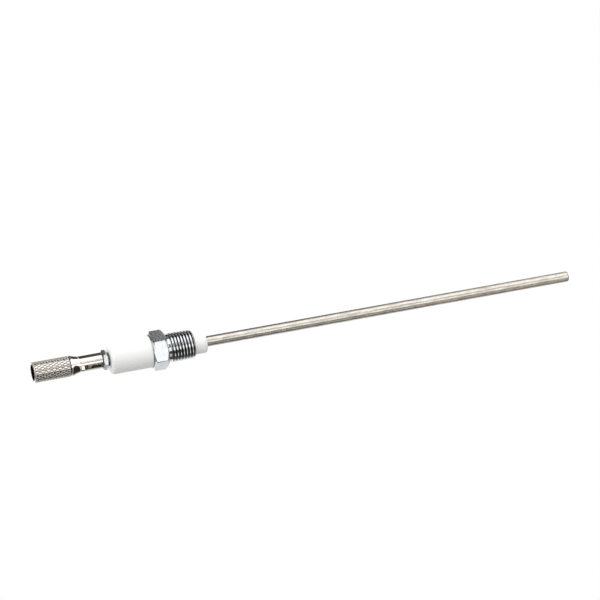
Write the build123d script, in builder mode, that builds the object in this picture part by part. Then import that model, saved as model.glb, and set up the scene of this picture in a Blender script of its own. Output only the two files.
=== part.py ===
"""Flame sensor probe: a pipe-threaded, ceramic-insulated electrode with a push-on cable terminal.

Every piece is turned about the X axis. The origin is on that axis, in the plane of the hexagon's
front face, where the pipe thread begins. +X runs towards the electrode's tip and +Z is up.
Sizes are in millimetres.
"""

from build123d import *
from math import atan, cos, degrees, pi, radians, sin, tan
import os

os.makedirs("parts", exist_ok=True)

# Shell: hexagon, rolled lip, 1/4-18 taper pipe thread
HEX_SIDES = 6
HEX_FLATS = 15.875
HEX_LENGTH = 7.25
HEX_CORNERS = HEX_FLATS / cos(pi / HEX_SIDES)
HEX_BACK_FACE = 15.6  # diameter of the flat face at the ceramic side
HEX_BACK_CHAMFER = 0.75  # length of the chamfer along X
HEX_FRONT_FACE = 13.7
HEX_FRONT_CHAMFER = 1.75
LIP_LENGTH = 0.4
LIP_DIAMETER = 15.2
NECK_LENGTH = 1.0
NECK_DIAMETER = 12.6
THREAD_END = 12.34
THREAD_PITCH = 25.4 / 18
THREAD_FLANK = radians(30)  # angle of each flank of the groove to its middle plane
THREAD_TAPER = atan(1 / 32)  # half angle of the 1:16 taper
THREAD_CREST = 13.4  # diameter that the crests are turned down to next to the hexagon
THREAD_CREST_END = 13.0  # crest diameter at the small end
THREAD_ROOT_END = 10.997  # root diameter at the small end
THREAD_TURNS = 9
THREAD_DEPTH = 1.12  # depth of the cutting profile, a little more than the groove's
THREAD_ROOT_FLAT = 0.06
RUNOUT_START = 1.3
RUNOUT_SLOPE = radians(50)
THREAD_CHAMFER = 0.7
SEAT_BORE = 14.4
SEAT_X = -3.3
SHELL_BORE = 10.1

# Ceramic insulator
CERAMIC_DIAMETER = 14.29
CERAMIC_BACK = -26.7
CERAMIC_SHOULDER = -4.0
NOSE_DIAMETER = 9.9
NOSE_END = 18.34
NOSE_ROUND = 1.1
CERAMIC_ROUND = 0.5
CEMENT_START = -2.0
CEMENT_END = 9.5
CEMENT_GROOVE = 8.6
ROD_HOLE = 4.6
TAIL_HOLE = 3.8
ROD_STEP = -20.5

# Electrode rod: 3/16 inch, with a 6-32 threaded tail
ROD_DIAMETER = 4.7625
ROD_SEAT_DIAMETER = 4.4  # turned down where it sits in the ceramic
ROD_TIP = 191.9
ROD_TIP_CHAMFER = 0.5
ROD_SHOULDER = -20.0
TAIL_DIAMETER = 3.505
TAIL_END = -37.2
TAIL_CHAMFER = 0.4

# Terminal hardware on the tail
NUT_FLATS = 7.94
NUT_START = -29.94
NUT_END = -27.7
NUT_CORNERS = NUT_FLATS / cos(radians(30))
NUT_FACE = 7.3
NUT_CHAMFER = 0.35
NUT_TURN = -5  # degrees about X from a flat facing up
TAIL_CLEARANCE = 3.6  # bore of the nut, the stud and the washers
WASHER_RING = 5.0
WASHER_OUTER = 5.9
WASHER_CORE = 0.5  # thickness of the ring between its twisted teeth
WASHER_TEETH = 14
WASHER_TOOTH = 0.32
WASHER_TWIST = 0.18
STUD_HEAD = 5.1
STUD_WAIST = 4.6
STUD_NOSE = 3.8
STUD_TAIL = -39.5
STUD_TAIL_CHAMFER = 0.3
STUD_BORE_END = -37.5
STUD_HEAD_START = -37.6
STUD_HEAD_END = -34.7
STUD_WAIST_START = -33.7
STUD_WAIST_END = -31.8
STUD_FLANGE_START = -31.2

# Push-on connector
TUBE_OUTER = 7.3
TUBE_INNER = 6.3
MOUTH_X = -30.12
MOUTH_LIP = 5.9
MOUTH_LIP_LENGTH = 0.23
MOUTH_CHAMFER = 0.1
TUBE_FLOOR = -41.1
CONE_START = -40.74
CONE_END = -44.15
COLLAR_DIAMETER = 9.3
COLLAR_END = -44.92
SHANK_END = -50.5
SHANK_OUTER = 7.3
SHANK_INNER = 5.6
SHANK_FLOOR = -45.4
CONTACT_HOLE = 2.0
WINDOW_START = -40.15
WINDOW_END = -30.6
WINDOW_CENTRE = 180  # degrees from +Y about X, so the window faces -Y
WINDOW_SPAN = 40
TAB_TIP = -37.4
TAB_WIDTH = 1.8
TAB_THICKNESS = 0.32
TAB_SINK = 0.02  # how far the tab's root stays below the tube's skin
TAB_DROP = 0.7  # how far the tab's tip is pushed in from the tube's skin
WINDOW_FRAME = 0.15  # material kept between the window's edge and the tab's root

# Spring cage inside the connector's tube
CAGE_OUTER = 6.1
CAGE_THICKNESS = 0.2
CAGE_WAIST = 5.2
CAGE_START = -37.2
CAGE_END = -30.5
CAGE_BACK_HOOP = -35.6  # where the wide hoop at the tab's side ends
CAGE_FRONT_HOOP = -31.0  # where the narrow hoop at the mouth begins
CAGE_WAIST_START = -33.0
CAGE_WAIST_END = -32.3
CAGE_SLOTS = 6
CAGE_SLOT_SPAN = 38
CAGE_SLOT_TURN = 200
CAGE_SEAM = 50  # where the rolled sheet's two edges meet
CAGE_SEAM_SPAN = 6

# Contact point that enters the cable's core
CONTACT_DIAMETER = 1.9
CONTACT_HEAD = 3.6
CONTACT_HEAD_LENGTH = 0.6
CONTACT_TIP = -53.5
CONTACT_POINT = 2.6

# Knurled ferrule and the grip ring it carries
FERRULE_OUTER = 9.3
FERRULE_BORE = 7.45
FERRULE_START = -61.96
FERRULE_END = -45.1
FERRULE_CHAMFER = 0.3
GRIP_GROOVE = 8.2
GRIP_GROOVE_START = -54.1
GRIP_GROOVE_END = -51.4
GRIP_OUTER = 8.0
GRIP_INNER = 7.0
GRIP_GAP = 0.15  # end play in the groove
GRIP_SLIT = 0.8

# Flat rings
GASKET_INNER = 10.2
GASKET_OUTER = 14.2
SEAL_INNER = 3.7
SEAL_OUTER = 4.5


def band(start, end, inner, outer):
    """Corners of a ring's half section between two places on X, from two diameters."""
    return [(start, inner / 2), (end, inner / 2), (end, outer / 2), (start, outer / 2)]


def about_x(angle, distance):
    """The point at an angle from +Y about X, and at a distance from X."""
    return (distance * cos(radians(angle)), distance * sin(radians(angle)))


def wedge(angle, span, reach):
    """Corners of a wedge about X, for cutting a slot of a given span in degrees."""
    return [(0, 0), about_x(angle - span / 2, reach), about_x(angle + span / 2, reach)]


def groove_root(x):
    """Radius of the thread's root at a place on X."""
    return THREAD_ROOT_END / 2 + (THREAD_END - x) * tan(THREAD_TAPER)


def groove_plane(path):
    """The plane across a helix at its start, with its first axis pointing away from X."""
    start = path @ 0
    return Plane(origin=start, x_dir=(0, start.Y, start.Z), z_dir=path % 0)


# Shell --------------------------------------------------------------------------------------
groove_half = THREAD_ROOT_FLAT / 2 + THREAD_DEPTH * tan(THREAD_FLANK)
crest_step = (THREAD_CREST - THREAD_CREST_END) / 2 / tan(THREAD_TAPER)
# each cut: where it starts on X, its length, and the slope of its root towards the hexagon
groove_cuts = [(RUNOUT_START, THREAD_PITCH / 2, RUNOUT_SLOPE)]
groove_cuts += [
    (RUNOUT_START + (turn + 1) * THREAD_PITCH, THREAD_PITCH, THREAD_TAPER) for turn in range(THREAD_TURNS)
]

with BuildPart() as hex_shell:
    with BuildSketch(Plane.YZ.offset(-HEX_LENGTH)):
        RegularPolygon(radius=HEX_FLATS / 2, side_count=HEX_SIDES, major_radius=False)
    extrude(amount=HEX_LENGTH)
    with BuildSketch(Plane.XY):
        with BuildLine():
            Polyline(
                (-HEX_LENGTH, 0),
                (-HEX_LENGTH, HEX_BACK_FACE / 2),
                (HEX_BACK_CHAMFER - HEX_LENGTH, HEX_CORNERS / 2),
                (-HEX_FRONT_CHAMFER, HEX_CORNERS / 2),
                (0, HEX_FRONT_FACE / 2),
                (0, 0),
                close=True,
            )
        make_face()
    revolve(axis=Axis.X, mode=Mode.INTERSECT)
    with BuildSketch(Plane.XY):
        with BuildLine():
            Polyline(
                (-HEX_LENGTH - LIP_LENGTH, 0),
                (-HEX_LENGTH - LIP_LENGTH, LIP_DIAMETER / 2 - LIP_LENGTH / 2),
                (-HEX_LENGTH - LIP_LENGTH / 2, LIP_DIAMETER / 2),
                (-HEX_LENGTH, LIP_DIAMETER / 2),
                (-HEX_LENGTH / 2, NECK_DIAMETER / 2),
                (NECK_LENGTH, NECK_DIAMETER / 2),
                (NECK_LENGTH + (THREAD_CREST - NECK_DIAMETER) / 2, THREAD_CREST / 2),
                (THREAD_END - crest_step, THREAD_CREST / 2),
                (THREAD_END - THREAD_CHAMFER, THREAD_CREST_END / 2 + THREAD_CHAMFER * tan(THREAD_TAPER)),
                (THREAD_END, THREAD_CREST_END / 2 - THREAD_CHAMFER),
                (THREAD_END, 0),
                close=True,
            )
        make_face()
    revolve(axis=Axis.X)
    # the V groove, cut one turn at a time from the run-out towards the small end
    for cut_start, cut_length, cut_slope in groove_cuts:
        with BuildLine() as groove_line:
            Helix(
                pitch=THREAD_PITCH / cos(cut_slope),
                height=cut_length,
                radius=groove_root(cut_start),
                center=(cut_start, 0, 0),
                direction=(-1, 0, 0),
                cone_angle=degrees(cut_slope),
            )
        with BuildSketch(groove_plane(groove_line.line)):
            with BuildLine():
                Polyline(
                    (0, -THREAD_ROOT_FLAT / 2),
                    (THREAD_DEPTH, -groove_half),
                    (THREAD_DEPTH, groove_half),
                    (0, THREAD_ROOT_FLAT / 2),
                    close=True,
                )
            make_face()
        sweep(path=groove_line.line, is_frenet=True, mode=Mode.SUBTRACT)
    with BuildSketch(Plane.XY):
        with BuildLine():
            Polyline(*band(-HEX_LENGTH - LIP_LENGTH, SEAT_X, 0, SEAT_BORE), close=True)
        make_face()
    revolve(axis=Axis.X, mode=Mode.SUBTRACT)
    with BuildSketch(Plane.XY):
        with BuildLine():
            Polyline(*band(SEAT_X, THREAD_END, 0, SHELL_BORE), close=True)
        make_face()
    revolve(axis=Axis.X, mode=Mode.SUBTRACT)

hex_shell.part.label = "hex_shell"
export_step(hex_shell.part, "parts/hex_shell.step")

# Ceramic insulator --------------------------------------------------------------------------
with BuildPart() as insulator:
    with BuildSketch(Plane.XY):
        with BuildLine():
            Polyline(
                (CERAMIC_BACK, TAIL_HOLE / 2),
                (CERAMIC_BACK, CERAMIC_DIAMETER / 2),
                (CERAMIC_SHOULDER, CERAMIC_DIAMETER / 2),
                (CERAMIC_SHOULDER, NOSE_DIAMETER / 2),
                (CEMENT_START, NOSE_DIAMETER / 2),
                (CEMENT_START, CEMENT_GROOVE / 2),
                (CEMENT_END, CEMENT_GROOVE / 2),
                (CEMENT_END, NOSE_DIAMETER / 2),
                (NOSE_END, NOSE_DIAMETER / 2),
                (NOSE_END, ROD_HOLE / 2),
                (ROD_STEP, ROD_HOLE / 2),
                (ROD_STEP, TAIL_HOLE / 2),
                close=True,
            )
        make_face()
    revolve(axis=Axis.X)
    fillet(insulator.edges().group_by(Axis.X)[0].sort_by(SortBy.RADIUS)[-1], radius=CERAMIC_ROUND)
    fillet(insulator.edges().group_by(Axis.X)[-1].sort_by(SortBy.RADIUS)[-1], radius=NOSE_ROUND)

insulator.part.label = "insulator"
export_step(insulator.part, "parts/insulator.step")

# Rings between the shell, the ceramic and the rod -------------------------------------------
with BuildPart() as seat_gasket:
    with BuildSketch(Plane.XY):
        with BuildLine():
            Polyline(*band(CERAMIC_SHOULDER, SEAT_X, GASKET_INNER, GASKET_OUTER), close=True)
        make_face()
    revolve(axis=Axis.X)

seat_gasket.part.label = "seat_gasket"
export_step(seat_gasket.part, "parts/seat_gasket.step")

with BuildPart() as bonding_cement:
    with BuildSketch(Plane.XY):
        with BuildLine():
            Polyline(*band(CEMENT_START, CEMENT_END, CEMENT_GROOVE, SHELL_BORE), close=True)
        make_face()
    revolve(axis=Axis.X)

bonding_cement.part.label = "bonding_cement"
export_step(bonding_cement.part, "parts/bonding_cement.step")

with BuildPart() as rod_seal_washer:
    with BuildSketch(Plane.XY):
        with BuildLine():
            Polyline(*band(ROD_STEP, ROD_SHOULDER, SEAL_INNER, SEAL_OUTER), close=True)
        make_face()
    revolve(axis=Axis.X)

rod_seal_washer.part.label = "rod_seal_washer"
export_step(rod_seal_washer.part, "parts/rod_seal_washer.step")

# Electrode rod ------------------------------------------------------------------------------
with BuildPart() as electrode_rod:
    with BuildSketch(Plane.XY):
        with BuildLine():
            Polyline(
                (TAIL_END, 0),
                (TAIL_END, TAIL_DIAMETER / 2 - TAIL_CHAMFER),
                (TAIL_END + TAIL_CHAMFER, TAIL_DIAMETER / 2),
                (ROD_SHOULDER, TAIL_DIAMETER / 2),
                (ROD_SHOULDER, ROD_SEAT_DIAMETER / 2),
                (NOSE_END, ROD_SEAT_DIAMETER / 2),
                (NOSE_END, ROD_DIAMETER / 2),
                (ROD_TIP - ROD_TIP_CHAMFER, ROD_DIAMETER / 2),
                (ROD_TIP, ROD_DIAMETER / 2 - ROD_TIP_CHAMFER),
                (ROD_TIP, 0),
                close=True,
            )
        make_face()
    revolve(axis=Axis.X)

electrode_rod.part.label = "electrode_rod"
export_step(electrode_rod.part, "parts/electrode_rod.step")

# Terminal hardware --------------------------------------------------------------------------
with BuildPart() as lock_washer:
    washer_middle = (NUT_END + CERAMIC_BACK) / 2
    with BuildSketch(Plane.XY):
        with BuildLine():
            Polyline(
                *band(
                    washer_middle - WASHER_CORE / 2,
                    washer_middle + WASHER_CORE / 2,
                    TAIL_CLEARANCE,
                    WASHER_RING,
                ),
                close=True,
            )
        make_face()
    revolve(axis=Axis.X)
    # each tooth is a short bar, twisted so that its edges bite the nut and the ceramic
    tooth_root = WASHER_RING / 2 - WASHER_CORE / 2
    tooth_half = (CERAMIC_BACK - NUT_END) / 2
    for tooth in range(WASHER_TEETH):
        angle = tooth * 360 / WASHER_TEETH
        with BuildSketch(
            Plane(
                origin=(washer_middle, *about_x(angle, tooth_root)),
                x_dir=(1, 0, 0),
                z_dir=(0, *about_x(angle, 1)),
            )
        ):
            with BuildLine():
                Polyline(
                    (-tooth_half, -WASHER_TWIST - WASHER_TOOTH / 2),
                    (tooth_half, WASHER_TWIST - WASHER_TOOTH / 2),
                    (tooth_half, WASHER_TWIST + WASHER_TOOTH / 2),
                    (-tooth_half, WASHER_TOOTH / 2 - WASHER_TWIST),
                    close=True,
                )
            make_face()
        extrude(amount=WASHER_OUTER / 2 - tooth_root)

lock_washer.part.label = "lock_washer"
export_step(lock_washer.part, "parts/lock_washer.step")

with BuildPart() as terminal_nut:
    with BuildSketch(Plane.YZ.offset(NUT_START)):
        RegularPolygon(radius=NUT_FLATS / 2, side_count=HEX_SIDES, major_radius=False, rotation=NUT_TURN)
        Circle(TAIL_CLEARANCE / 2, mode=Mode.SUBTRACT)
    extrude(amount=NUT_END - NUT_START)
    with BuildSketch(Plane.XY):
        with BuildLine():
            Polyline(
                (NUT_START, 0),
                (NUT_START, NUT_FACE / 2),
                (NUT_START + NUT_CHAMFER, NUT_CORNERS / 2),
                (NUT_END - NUT_CHAMFER, NUT_CORNERS / 2),
                (NUT_END, NUT_FACE / 2),
                (NUT_END, 0),
                close=True,
            )
        make_face()
    revolve(axis=Axis.X, mode=Mode.INTERSECT)

terminal_nut.part.label = "terminal_nut"
export_step(terminal_nut.part, "parts/terminal_nut.step")

with BuildPart() as terminal_stud:
    with BuildSketch(Plane.XY):
        with BuildLine():
            Polyline(
                (STUD_TAIL, 0),
                (STUD_TAIL, STUD_NOSE / 2 - STUD_TAIL_CHAMFER),
                (STUD_TAIL + STUD_TAIL_CHAMFER, STUD_NOSE / 2),
                (STUD_HEAD_START, STUD_HEAD / 2),
                (STUD_HEAD_END, STUD_HEAD / 2),
                (STUD_WAIST_START, STUD_WAIST / 2),
                (STUD_WAIST_END, STUD_WAIST / 2),
                (STUD_FLANGE_START, STUD_HEAD / 2),
                (NUT_START, STUD_HEAD / 2),
                (NUT_START, TAIL_CLEARANCE / 2),
                (STUD_BORE_END, TAIL_CLEARANCE / 2),
                (STUD_BORE_END, 0),
                close=True,
            )
        make_face()
    revolve(axis=Axis.X)

terminal_stud.part.label = "terminal_stud"
export_step(terminal_stud.part, "parts/terminal_stud.step")

# Push-on connector --------------------------------------------------------------------------
with BuildPart() as connector_body:
    with BuildSketch(Plane.XY):
        with BuildLine():
            Polyline(
                (MOUTH_X, MOUTH_LIP / 2),
                (MOUTH_X, TUBE_OUTER / 2 - MOUTH_CHAMFER),
                (MOUTH_X - MOUTH_CHAMFER, TUBE_OUTER / 2),
                (CONE_START, TUBE_OUTER / 2),
                (CONE_END, COLLAR_DIAMETER / 2),
                (COLLAR_END, COLLAR_DIAMETER / 2),
                (COLLAR_END, SHANK_OUTER / 2),
                (SHANK_END, SHANK_OUTER / 2),
                (SHANK_END, SHANK_INNER / 2),
                (SHANK_FLOOR, SHANK_INNER / 2),
                (SHANK_FLOOR, CONTACT_HOLE / 2),
                (TUBE_FLOOR, CONTACT_HOLE / 2),
                (TUBE_FLOOR, TUBE_INNER / 2),
                (MOUTH_X - MOUTH_LIP_LENGTH, TUBE_INNER / 2),
                (MOUTH_X - MOUTH_LIP_LENGTH, MOUTH_LIP / 2),
                close=True,
            )
        make_face()
    revolve(axis=Axis.X)
    # window in the tube's wall
    with BuildSketch(Plane.YZ.offset(WINDOW_START)):
        with BuildLine():
            Polyline(*wedge(WINDOW_CENTRE, WINDOW_SPAN, TUBE_OUTER), close=True)
        make_face()
    extrude(amount=WINDOW_END - WINDOW_START, mode=Mode.SUBTRACT)
    # tongue lanced out of the window and pushed in, which stops the spring cage
    tab_plane = Plane(
        origin=(0, *about_x(WINDOW_CENTRE + 90, -TAB_WIDTH / 2)),
        x_dir=(1, 0, 0),
        z_dir=(0, *about_x(WINDOW_CENTRE + 90, 1)),
    )
    with BuildSketch(tab_plane):
        with BuildLine():
            Polyline(
                (WINDOW_START - WINDOW_FRAME, TUBE_OUTER / 2 - TAB_SINK),
                (WINDOW_START - WINDOW_FRAME, TUBE_INNER / 2),
                (TAB_TIP, TUBE_OUTER / 2 - TAB_DROP - TAB_THICKNESS),
                (TAB_TIP, TUBE_OUTER / 2 - TAB_DROP),
                close=True,
            )
        make_face()
    extrude(amount=TAB_WIDTH)

connector_body.part.label = "connector_body"
export_step(connector_body.part, "parts/connector_body.step")

# Spring cage --------------------------------------------------------------------------------
with BuildPart() as cage_spring:
    with BuildSketch(Plane.XY):
        with BuildLine():
            Polyline(
                (CAGE_START, CAGE_OUTER / 2),
                (CAGE_BACK_HOOP, CAGE_OUTER / 2),
                (CAGE_WAIST_START, CAGE_WAIST / 2),
                (CAGE_WAIST_END, CAGE_WAIST / 2),
                (CAGE_FRONT_HOOP, CAGE_OUTER / 2),
                (CAGE_END, CAGE_OUTER / 2),
                (CAGE_END, CAGE_OUTER / 2 - CAGE_THICKNESS),
                (CAGE_FRONT_HOOP, CAGE_OUTER / 2 - CAGE_THICKNESS),
                (CAGE_WAIST_END, CAGE_WAIST / 2 - CAGE_THICKNESS),
                (CAGE_WAIST_START, CAGE_WAIST / 2 - CAGE_THICKNESS),
                (CAGE_BACK_HOOP, CAGE_OUTER / 2 - CAGE_THICKNESS),
                (CAGE_START, CAGE_OUTER / 2 - CAGE_THICKNESS),
                close=True,
            )
        make_face()
    revolve(axis=Axis.X)
    # slots on both sides of the waist leave narrow strips that can bow
    for slot_start, slot_end in ((CAGE_BACK_HOOP, CAGE_WAIST_START), (CAGE_WAIST_END, CAGE_FRONT_HOOP)):
        with BuildSketch(Plane.YZ.offset(slot_start)):
            for slot in range(CAGE_SLOTS):
                slot_angle = CAGE_SLOT_TURN + slot * 360 / CAGE_SLOTS
                with BuildLine():
                    Polyline(*wedge(slot_angle, CAGE_SLOT_SPAN, CAGE_OUTER), close=True)
                make_face()
        extrude(amount=slot_end - slot_start, mode=Mode.SUBTRACT)
    with BuildSketch(Plane.YZ.offset(CAGE_START)):
        with BuildLine():
            Polyline(*wedge(CAGE_SEAM, CAGE_SEAM_SPAN, CAGE_OUTER), close=True)
        make_face()
    extrude(amount=CAGE_END - CAGE_START, mode=Mode.SUBTRACT)

cage_spring.part.label = "cage_spring"
export_step(cage_spring.part, "parts/cage_spring.step")

# Contact point ------------------------------------------------------------------------------
with BuildPart() as contact_point:
    with BuildSketch(Plane.XY):
        with BuildLine():
            Polyline(
                (CONTACT_TIP, 0),
                (CONTACT_TIP + CONTACT_POINT, CONTACT_DIAMETER / 2),
                (TUBE_FLOOR, CONTACT_DIAMETER / 2),
                (TUBE_FLOOR, CONTACT_HEAD / 2),
                (TUBE_FLOOR + CONTACT_HEAD_LENGTH, CONTACT_HEAD / 2),
                (TUBE_FLOOR + CONTACT_HEAD_LENGTH, 0),
                close=True,
            )
        make_face()
    revolve(axis=Axis.X)

contact_point.part.label = "contact_point"
export_step(contact_point.part, "parts/contact_point.step")

# Ferrule and grip ring ----------------------------------------------------------------------
with BuildPart() as knurled_ferrule:
    with BuildSketch(Plane.XY):
        with BuildLine():
            Polyline(
                (FERRULE_START, FERRULE_BORE / 2),
                (FERRULE_START, FERRULE_OUTER / 2 - FERRULE_CHAMFER),
                (FERRULE_START + FERRULE_CHAMFER, FERRULE_OUTER / 2),
                (FERRULE_END - FERRULE_CHAMFER, FERRULE_OUTER / 2),
                (FERRULE_END, FERRULE_OUTER / 2 - FERRULE_CHAMFER),
                (FERRULE_END, FERRULE_BORE / 2),
                (GRIP_GROOVE_END, FERRULE_BORE / 2),
                (GRIP_GROOVE_END, GRIP_GROOVE / 2),
                (GRIP_GROOVE_START, GRIP_GROOVE / 2),
                (GRIP_GROOVE_START, FERRULE_BORE / 2),
                close=True,
            )
        make_face()
    revolve(axis=Axis.X)

knurled_ferrule.part.label = "knurled_ferrule"
export_step(knurled_ferrule.part, "parts/knurled_ferrule.step")

with BuildPart() as cable_grip_ring:
    with BuildSketch(Plane.XY):
        with BuildLine():
            Polyline(
                *band(
                    GRIP_GROOVE_START + GRIP_GAP, GRIP_GROOVE_END - GRIP_GAP, GRIP_INNER, GRIP_OUTER
                ),
                close=True,
            )
        make_face()
    revolve(axis=Axis.X)
    with BuildSketch(Plane.YZ.offset(GRIP_GROOVE_START)):
        with Locations((0, GRIP_OUTER / 2)):
            Rectangle(GRIP_SLIT, GRIP_OUTER / 2)
    extrude(amount=GRIP_GROOVE_END - GRIP_GROOVE_START, mode=Mode.SUBTRACT)

cable_grip_ring.part.label = "cable_grip_ring"
export_step(cable_grip_ring.part, "parts/cable_grip_ring.step")
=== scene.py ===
"""Looks of the flame sensor probe: fine meshes, procedural finishes, studio light and camera.

Sizes in this script are in millimetres and angles in degrees, and MM turns them into Blender's
metres. Every piece is centred on the X axis, and an angle about X is measured from +Y to +Z.
"""

import math

import bpy
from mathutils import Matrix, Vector


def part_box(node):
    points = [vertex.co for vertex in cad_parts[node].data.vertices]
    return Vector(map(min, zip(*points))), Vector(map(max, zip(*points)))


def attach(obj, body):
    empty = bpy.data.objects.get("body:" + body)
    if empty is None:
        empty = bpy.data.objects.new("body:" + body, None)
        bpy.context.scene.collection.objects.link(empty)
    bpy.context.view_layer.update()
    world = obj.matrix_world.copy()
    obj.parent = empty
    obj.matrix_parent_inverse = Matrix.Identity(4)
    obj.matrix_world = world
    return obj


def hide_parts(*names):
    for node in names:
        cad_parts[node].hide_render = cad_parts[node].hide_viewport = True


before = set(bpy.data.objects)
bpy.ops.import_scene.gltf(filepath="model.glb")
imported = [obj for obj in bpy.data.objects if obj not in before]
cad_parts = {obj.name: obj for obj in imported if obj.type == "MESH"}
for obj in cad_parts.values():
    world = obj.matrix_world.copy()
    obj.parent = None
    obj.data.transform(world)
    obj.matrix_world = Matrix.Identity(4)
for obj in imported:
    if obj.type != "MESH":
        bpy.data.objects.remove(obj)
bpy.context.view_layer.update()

MM = 0.001


# Mesh helpers -------------------------------------------------------------------------------


def extent(node):
    """Lowest x, highest x and half height of a CAD node, in mm."""
    low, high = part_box(node)
    return low.x / MM, high.x / MM, high.z / MM


def regular_angles(count):
    """Evenly spaced angles about X."""
    return [step * 360 / count for step in range(count)]


def stations(start, end, step):
    """Places on X from start to end, evenly spaced by about step."""
    count = max(1, round((end - start) / step))
    return [start + (end - start) * k / count for k in range(count + 1)]


def eased(corners, steps=3):
    """The outline through (x, r, ease) corners, where a corner with an ease turns in a short curve
    that begins that far before it."""
    outline = []
    count = len(corners)
    for place, (x, r, ease) in enumerate(corners):
        if not ease:
            outline.append((x, r))
            continue
        ends = []
        for other in (corners[place - 1], corners[(place + 1) % count]):
            along = (other[0] - x, other[1] - r)
            length = math.hypot(*along)
            reach = min(ease, 0.45 * length) / length
            ends.append((x + along[0] * reach, r + along[1] * reach))
        for step in range(steps + 1):
            t = step / steps
            outline.append(
                tuple(
                    (1 - t) ** 2 * before + 2 * t * (1 - t) * corner + t**2 * after
                    for before, corner, after in zip(ends[0], (x, r), ends[1])
                )
            )
    return outline


def soft_min(a, b, blend):
    """The smaller of two numbers, rounded over where they cross."""
    overlap = max(blend - abs(a - b), 0) / blend
    return min(a, b) - overlap * overlap * blend / 4


def split(corners, radii):
    """A four-cornered cell of the surface as two triangles that meet along its more level
    diagonal, or its lower one if both are level."""
    a, b, c, d = corners
    first, second = radii[::2], radii[1::2]
    first_rank = (round(abs(first[0] - first[1]), 4), sum(first))
    second_rank = (round(abs(second[0] - second[1]), 4), sum(second))
    if first_rank < second_rank:
        return [(a, b, c), (a, c, d)]
    return [(a, b, d), (b, c, d)]


def turned(name, outline, angles, relief=False):
    """A mesh about X. outline(angle) gives the section's (x, r) points at an angle. A section that
    starts and ends on the axis makes a solid, and any other section is a closed loop. With relief,
    cells are split so that grooves stay straight."""
    columns = [outline(angle) for angle in angles]
    solid = columns[0][0][1] == 0 and columns[0][-1][1] == 0
    rows = len(columns[0])
    points = []
    for angle, column in zip(angles, columns):
        turn = math.radians(angle)
        points += [(x * MM, r * math.cos(turn) * MM, r * math.sin(turn) * MM) for x, r in column]
    faces = []
    for c in range(len(columns)):
        after = (c + 1) % len(columns)
        for k in range(rows - 1 if solid else rows):
            far = (k + 1) % rows
            cell = [c * rows + k, c * rows + far, after * rows + far, after * rows + k]
            if solid and k == 0:
                faces.append((0, cell[1], cell[2]))
            elif solid and far == rows - 1:
                faces.append((cell[0], rows - 1, cell[3]))
            elif relief:
                here, there = columns[c], columns[after]
                faces += split(cell, (here[k][1], here[far][1], there[far][1], there[k][1]))
            else:
                faces.append(tuple(cell))
    return new_mesh(name, points, faces)


def pierced(name, sections, angles, is_open):
    """A mesh about X from (x, outer r, inner r) sections. Where is_open(x, angle) is true of a
    cell's middle, the wall is left out and the hole's edges are closed."""
    rows = len(sections)
    points = []
    for angle in angles:
        turn = math.radians(angle)
        for x, outer, inner in sections:
            for r in (outer, inner):
                points.append((x * MM, r * math.cos(turn) * MM, r * math.sin(turn) * MM))

    def corner(c, k, side):
        return ((c % len(angles)) * rows + k) * 2 + side

    def cell_is_open(c, k):
        here, after = angles[c % len(angles)], angles[(c + 1) % len(angles)]
        middle = here + ((after - here) % 360) / 2
        return 0 <= k < rows - 1 and is_open((sections[k][0] + sections[k + 1][0]) / 2, middle)

    faces = []
    for c in range(len(angles)):
        for end, order in ((0, 1), (rows - 1, -1)):
            sides = ((c, 0), (c + 1, 0), (c + 1, 1), (c, 1))
            rim = [corner(column, end, side) for column, side in sides]
            faces.append(tuple(rim[::order]))
        for k in range(rows - 1):
            if not cell_is_open(c, k):
                around_cell = ((c, k), (c, k + 1), (c + 1, k + 1), (c + 1, k))
                outer = [corner(column, row, 0) for column, row in around_cell]
                faces += [tuple(outer), tuple(v + 1 for v in outer[::-1])]
                continue
            borders = (
                ((c - 1, k), (c, k), (c, k + 1)),
                ((c + 1, k), (c + 1, k + 1), (c + 1, k)),
                ((c, k - 1), (c + 1, k), (c, k)),
                ((c, k + 1), (c, k + 1), (c + 1, k + 1)),
            )
            for neighbour, start, end in borders:
                if not cell_is_open(*neighbour):
                    a, b = corner(*start, 0), corner(*end, 0)
                    faces.append((a, b, b + 1, a + 1))
    return new_mesh(name, points, faces)


def new_mesh(name, points, faces):
    """A smooth-shaded mesh object whose faces all look outwards and that holds no loose points."""
    mesh = bpy.data.meshes.new(name)
    mesh.from_pydata(points, [], faces)
    obj = bpy.data.objects.new(name, mesh)
    bpy.context.scene.collection.objects.link(obj)
    bpy.context.view_layer.objects.active = obj
    bpy.ops.object.mode_set(mode="EDIT")
    bpy.ops.mesh.select_all(action="SELECT")
    bpy.ops.mesh.delete_loose()
    bpy.ops.mesh.select_all(action="SELECT")
    bpy.ops.mesh.normals_make_consistent(inside=False)
    bpy.ops.object.mode_set(mode="OBJECT")
    mesh.shade_smooth()
    return obj


def mark(obj, attribute, value):
    """Keeps value(x, r, angle) of each point in an attribute that the finish can read."""
    mesh = obj.data
    values = []
    for vertex in mesh.vertices:
        x, y, z = (c / MM for c in vertex.co)
        values.append(value(x, math.hypot(y, z), math.degrees(math.atan2(z, y))))
    mesh.attributes.new(attribute, "FLOAT", "POINT").data.foreach_set("value", values)


def soften(obj, width=0.03, angle=35):
    """Rounds the sharp edges of a stamped or drilled piece."""
    bevel = obj.modifiers.new("edges", "BEVEL")
    bevel.width = width * MM
    bevel.segments = 2
    bevel.limit_method = "ANGLE"
    bevel.angle_limit = math.radians(angle)
    bevel.harden_normals = False


def fit(obj, node, body, finish):
    """Puts a finished piece in the place of a CAD node."""
    obj.data.materials.append(finish)
    normals = obj.modifiers.new("flats", "WEIGHTED_NORMAL")
    normals.weight = 90
    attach(obj, body)
    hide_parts(node)


# Finishes -----------------------------------------------------------------------------------


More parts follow.
